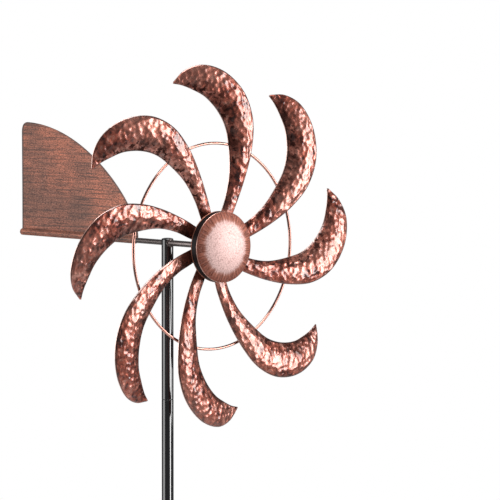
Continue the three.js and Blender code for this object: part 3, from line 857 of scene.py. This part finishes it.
def hub_cap_shell():
    """The cap as a thin shell, with UVs of radius and turn for its brushed look."""
    rear, segments = HUB_BACK + 0.3, 128
    radii = [HUB_R * k for k in (0.965, 0.94, 0.9, 0.84, 0.76, 0.68, 0.6, 0.5, 0.4, 0.3, 0.2, 0.1, 0.0)]
    outside = [(HUB_R, rear), (HUB_R, HUB_RIM - 2.6), (HUB_R, HUB_RIM - 2.2),
               *arc((HUB_R - 1.15, HUB_RIM - 0.9), 1.15, -20, 85, 8)]
    outside += [(r, hub_dome(r) - 0.02) for r in radii]
    inside = [(r * 0.97, hub_dome(r) - HUB_WALL) for r in radii[::-1][:-1]]
    inside += [(HUB_R - HUB_WALL, HUB_RIM - 2.4), (HUB_R - HUB_WALL, rear)]
    profile = outside + inside
    axis, side, other = frame_from((0, -1, 0))
    vertices, uvs = [], []
    for radius, height in profile:
        for k, spoke in enumerate(spokes(side, other, segments)):
            vertices.append(ROTOR + (axis * height + spoke * max(radius, 1e-3)) * MM)
            uvs.append((radius / HUB_R, abs(k / segments - 0.5)))
    faces = grid_faces(len(profile), segments, True, True)
    return sharpen(new_object("hub_cap_shell", vertices, faces, HUB, uvs=uvs), 30)


def build_hub():
    cap = hub_cap_shell()
    skirt_faces(cap)
    bead = sweep_ring("hub_rim_bead", HUB_R - 0.35, 0.55, HUB_RIM - 1.1, BEAD)
    rear_edge = sweep_ring("hub_rear_bead", HUB_R - 0.15, 0.55, HUB_BACK - 0.7, BEAD)
    for piece in (cap, bead, rear_edge):
        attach(piece, "rotor")
    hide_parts("hub_front_cap")


def skirt_faces(cap):
    """Gives the cap's side wall a near-black matt finish: painted shade for a wall in shadow."""
    cap.data.materials.append(SKIRT_SHADE)
    limit = ROTOR.y - (HUB_RIM - 2.0) * MM
    for face in cap.data.polygons:
        if abs(face.normal.y) < 0.3 and face.center.y > limit:
            face.material_index = 1


def sweep_ring(name, radius, wire, forward, material, segments=160):
    """A round wire hoop about the rotor's axis, radius and wire radius in mm."""
    sides = 16
    vertices = []
    for i in range(segments):
        a = 2 * math.pi * i / segments
        for k in range(sides):
            b = 2 * math.pi * k / sides
            r = radius + wire * math.cos(b)
            depth = -(forward + wire * math.sin(b))
            vertices.append(ROTOR + Vector((r * math.cos(a), depth, r * math.sin(a))) * MM)
    return new_object(name, vertices, grid_faces(segments, sides, True, True), material)


def tack_welds():
    """A lumpy bead of weld that ties the hoop to the back of each blade, near the blade's inner edge."""
    half_length, half_width, half_height, middle = 3.6, 2.1, 2.5, 2.2
    inner_edge_turn = math.radians(27.6)
    rng = np.random.default_rng(5)
    rows, columns = 14, 20
    vertices, faces = [], []
    for i in range(BLADES):
        lumps = rng.uniform(0.88, 1.12, (rows + 1, columns))
        start = len(vertices)
        for row in range(rows + 1):
            lean = math.pi * row / rows
            for column in range(columns):
                turn = 2 * math.pi * column / columns
                swell = lumps[row, column] if 0 < row < rows else 1.0
                along = half_length * math.cos(lean)
                radius = RING_R + half_width * math.sin(lean) * math.cos(turn) * swell
                forward = middle + half_height * math.sin(lean) * math.sin(turn) * swell
                place = inner_edge_turn + along / RING_R
                point = (radius * math.sin(place), forward, radius * math.cos(place))
                vertices.append(turned(blade_turn(i), point))
        bead = grid_faces(rows + 1, columns, wrap_columns=True)
        faces += [tuple(start + v for v in face) for face in bead]
    return weld_poles(new_object("hoop_tack_welds", vertices, faces, WIRE))


def weld_poles(piece):
    """Merges the doubled points at each bead's two ends, so every bead is closed."""
    build = bmesh.new()
    build.from_mesh(piece.data)
    bmesh.ops.remove_doubles(build, verts=build.verts, dist=1e-6)
    build.to_mesh(piece.data)
    build.free()
    return piece


def build_ring():
    hoop = sweep_ring("hoop_wire", RING_R, WIRE_R, 0, WIRE, segments=220)
    tacks = tack_welds()
    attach(tacks, "rotor")
    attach(hoop, "rotor")
    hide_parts("stabilizer_ring")


# ------------------------------------------------------------------ bearing, carrier and rear disc
def depth_of(node):
    """How far forward of the rotor's middle a node's rear and front faces are, in mm."""
    low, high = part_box(node)
    return (ROTOR.y - high[1]) / MM, (ROTOR.y - low[1]) / MM


def ring_profile(bore, outer, rear, front, lip=0.3, outer_groove=(), bore_groove=()):
    """A flat ring with softened edges, and a groove for balls on its outside or in its bore."""
    outside = [(outer - lip, rear), (outer, rear + lip), *outer_groove,
               (outer, front - lip), (outer - lip, front)]
    inside = [(bore + lip, front), (bore, front - lip), *bore_groove, (bore, rear + lip), (bore + lip, rear)]
    return outside + inside


def turned_ring(name, node, body, material, profile, segments=72):
    """A ring about the rotor's axis that rides on a body and takes a node's place."""
    piece = lathe(name, profile, ROTOR, (0, -1, 0), material, segments, closed=True)
    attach(piece, body)
    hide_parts(node)


def build_bearing(place):
    """One ball bearing: two grooved races, the balls and the cage ring between them."""
    rear, front = depth_of(f"bearing_{place}_outer_race")
    middle = (rear + front) / 2
    ball_centre = (BALL_CIRCLE_R, middle)
    inner_grooves = {"outer_groove": arc(ball_centre, BALL_GROOVE_R, 216, 144, 8)}
    outer_grooves = {"bore_groove": arc(ball_centre, BALL_GROOVE_R, 36, -36, 8)}
    races = (("inner", "head", INNER_RACE, inner_grooves), ("outer", "rotor", OUTER_RACE, outer_grooves))
    for name, body, (bore, outer), grooves in races:
        turned_ring(f"{place}_{name}_race", f"bearing_{place}_{name}_race", body, BRIGHT,
                    ring_profile(bore, outer, rear, front, **grooves))
    cage = f"bearing_{place}_ball_cage"
    cage_profile = ring_profile(BALL_CIRCLE_R - 0.7, BALL_CIRCLE_R + 0.7, middle - 1.0, middle + 1.0, 0.2)
    turned_ring(f"{place}_cage_ring", cage, "rotor", BRONZE, cage_profile)
    balls = bearing_balls(f"{place}_balls", middle)
    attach(balls, "rotor")
    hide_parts(cage)


def bearing_balls(name, forward):
    """The balls of one bearing as one piece, their centres at a depth in mm."""
    build = bmesh.new()
    for turn in np.arange(BALLS) * 2 * math.pi / BALLS:
        out = BALL_CIRCLE_R * math.cos(turn), BALL_CIRCLE_R * math.sin(turn)
        centre = ROTOR + Vector((out[0], -forward, out[1])) * MM
        bmesh.ops.create_uvsphere(build, u_segments=20, v_segments=12, radius=BALL_R * MM,
                                  matrix=Matrix.Translation(centre))
    mesh = bpy.data.meshes.new(name)
    build.to_mesh(mesh)
    build.free()
    mesh.polygons.foreach_set("use_smooth", [True] * len(mesh.polygons))
    mesh.materials.append(BRIGHT)
    balls = bpy.data.objects.new(name, mesh)
    bpy.context.collection.objects.link(balls)
    return balls


def build_rear():
    """What shows from behind: bearings, housing, collar, the riveted carrier and the hub's rear disc."""
    for place in ("rear", "front"):
        build_bearing(place)
    land = 9.6
    land_rear, land_front = depth_of("bearing_spacer")
    between_bearings = [(HOUSING_BORE_R, land_front), (land, land_front), (land, land_rear),
                        (HOUSING_BORE_R, land_rear)]
    turned_ring("housing_tube", "bearing_housing", "rotor", DARK,
                ring_profile(HOUSING_BORE_R, HOUSING_R, *depth_of("bearing_housing"), 0.4,
                             bore_groove=between_bearings))
    turned_ring("collar_ring", "axle_collar", "head", DARK,
                ring_profile(4.2, 6.5, *depth_of("axle_collar"), 0.4), 48)
    turned_ring("carrier_plate", "blade_carrier", "rotor", PLAIN_COPPER,
                ring_profile(HOUSING_R + 0.6, CARRIER_R, *depth_of("blade_carrier"), 0.35), 128)
    turned_ring("rear_disc_plate", "hub_rear_disc", "rotor", PLAIN_COPPER,
                ring_profile(HOUSING_R + 0.4, HUB_R + 0.4, *depth_of("hub_rear_disc"), 0.45), 128)
    weld = ripple_ring("carrier_weld", HOUSING_R + 0.35, 0.85, depth_of("blade_carrier")[0])
    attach(weld, "rotor")


def ripple_ring(name, radius, size, forward):
    """A rippled bead of weld round the rotor's axis."""
    segments, sides, ripples = 240, 14, 44
    vertices = []
    for i in range(segments):
        turn = 2 * math.pi * i / segments
        swell = 1 + 0.14 * abs(math.sin(turn * ripples / 2)) + 0.05 * math.sin(turn * 3 + 1)
        for k in range(sides):
            lean = 2 * math.pi * k / sides
            r = radius + 1.5 * size * swell * math.cos(lean)
            depth = forward + 0.8 * size * swell * math.sin(lean)
            vertices.append(ROTOR + Vector((r * math.cos(turn), -depth, r * math.sin(turn))) * MM)
    return new_object(name, vertices, grid_faces(segments, sides, True, True), DARK)


def finish_cad_nodes():
    """Gives the CAD nodes that stay, all of them inside the sleeve or the hub, their materials."""
    looks = {
        BRIGHT: ("pivot_pin", "thrust_ball", "bearing_spacer", "axle_washer", "axle_nut"),
        BRONZE: ("bush_lower", "bush_upper"),
    }
    for material, names in looks.items():
        for name in names:
            node = frame["nodes"][name]
            node.data.materials.clear()
            node.data.materials.append(material)


# ------------------------------------------------------------------ studio
def area_light(name, target, azimuth, elevation, distance, width, height, power):
    """A soft box on the given side of the target (azimuth 0 is in front of the rotor, 90 at +X)."""
    a, e = math.radians(azimuth), math.radians(elevation)
    away = Vector((math.sin(a) * math.cos(e), -math.cos(a) * math.cos(e), math.sin(e)))
    light = bpy.data.lights.new(name, "AREA")
    light.shape = "RECTANGLE"
    light.size, light.size_y = width, height
    light.energy = power
    lamp = bpy.data.objects.new(name, light)
    lamp.location = target + away * distance
    lamp.rotation_euler = away.to_track_quat("Z", "Y").to_euler()
    lamp.visible_camera = False
    bpy.context.collection.objects.link(lamp)
    return lamp


def build_floor():
    bpy.ops.mesh.primitive_circle_add(vertices=96, radius=FLOOR_R, fill_type="NGON", location=(0, 0, TIP_Z))
    floor = bpy.context.object
    floor.name = "studio_floor"
    floor.data.materials.append(floor_finish())


def build_lights():
    """Three soft boxes round the rotor, and a tall one that lights the black enamel alone."""
    pole_middle = Vector((0, 0, 0.55))
    area_light("key_softbox", ROTOR, azimuth=47, elevation=3, distance=2.6, width=1.0, height=1.3, power=35)
    area_light("side_softbox", ROTOR, azimuth=-118, elevation=6, distance=2.8, width=2.2, height=2.2,
               power=56)
    area_light("top_softbox", ROTOR, azimuth=10, elevation=80, distance=2.4, width=1.8, height=1.8, power=80)
    strip = area_light("strip_softbox", pole_middle, azimuth=15, elevation=0, distance=2.6, width=0.75,
                       height=2.2, power=82)
    enamelled = bpy.data.collections.new("enamelled_pieces")
    for piece in bpy.data.objects:
        if piece.type == "MESH" and BLACK.name in piece.data.materials:
            enamelled.objects.link(piece)
    strip.light_linking.receiver_collection = enamelled


def build_world():
    """White where the camera sees past the floor, and a weak white fill on the object."""
    fill_strength = 0.19
    world = bpy.data.worlds.new("studio")
    bpy.context.scene.world = world
    world.use_nodes = True
    tree = world.node_tree
    tree.nodes.clear()
    seen = tree.nodes.new("ShaderNodeBackground")
    seen.inputs["Color"].default_value = (1, 1, 1, 1)
    fill = tree.nodes.new("ShaderNodeBackground")
    fill.inputs["Color"].default_value = (1, 1, 1, 1)
    fill.inputs["Strength"].default_value = fill_strength
    path = tree.nodes.new("ShaderNodeLightPath")
    mix = tree.nodes.new("ShaderNodeMixShader")
    out = tree.nodes.new("ShaderNodeOutputWorld")
    tree.links.new(path.outputs["Is Camera Ray"], mix.inputs[0])
    tree.links.new(fill.outputs[0], mix.inputs[1])
    tree.links.new(seen.outputs[0], mix.inputs[2])
    tree.links.new(mix.outputs[0], out.inputs["Surface"])
    bpy.context.scene.view_settings.view_transform = "Standard"


def build_camera():
    """A long lens, nearly level, from the front left, with the rotor left of the frame's middle."""
    azimuth, elevation = math.radians(-41.1), math.radians(3.9)
    distance, sensor, pictures_per_metre = 6.78, 36.0, 1.5062
    shift_right, shift_down = 0.0496, 0.0050
    back = Vector((math.sin(azimuth) * math.cos(elevation), -math.cos(azimuth) * math.cos(elevation),
                   math.sin(elevation)))
    right = Vector((math.cos(azimuth), math.sin(azimuth), 0))
    up = back.cross(right)
    camera = bpy.data.cameras.new("camera")
    camera.sensor_width = sensor
    camera.lens = sensor * pictures_per_metre * distance
    camera.clip_end = 200
    viewer = bpy.data.objects.new("camera", camera)
    viewer.location = ROTOR + back * distance + right * shift_right - up * shift_down
    viewer.rotation_euler = Matrix((right, up, back)).transposed().to_euler()
    bpy.context.collection.objects.link(viewer)
    bpy.context.scene.camera = viewer


build_camera()
build_stand()
build_head()
build_vane()
build_blades()
build_hub()
build_ring()
build_rear()
finish_cad_nodes()
build_floor()
build_lights()
build_world()
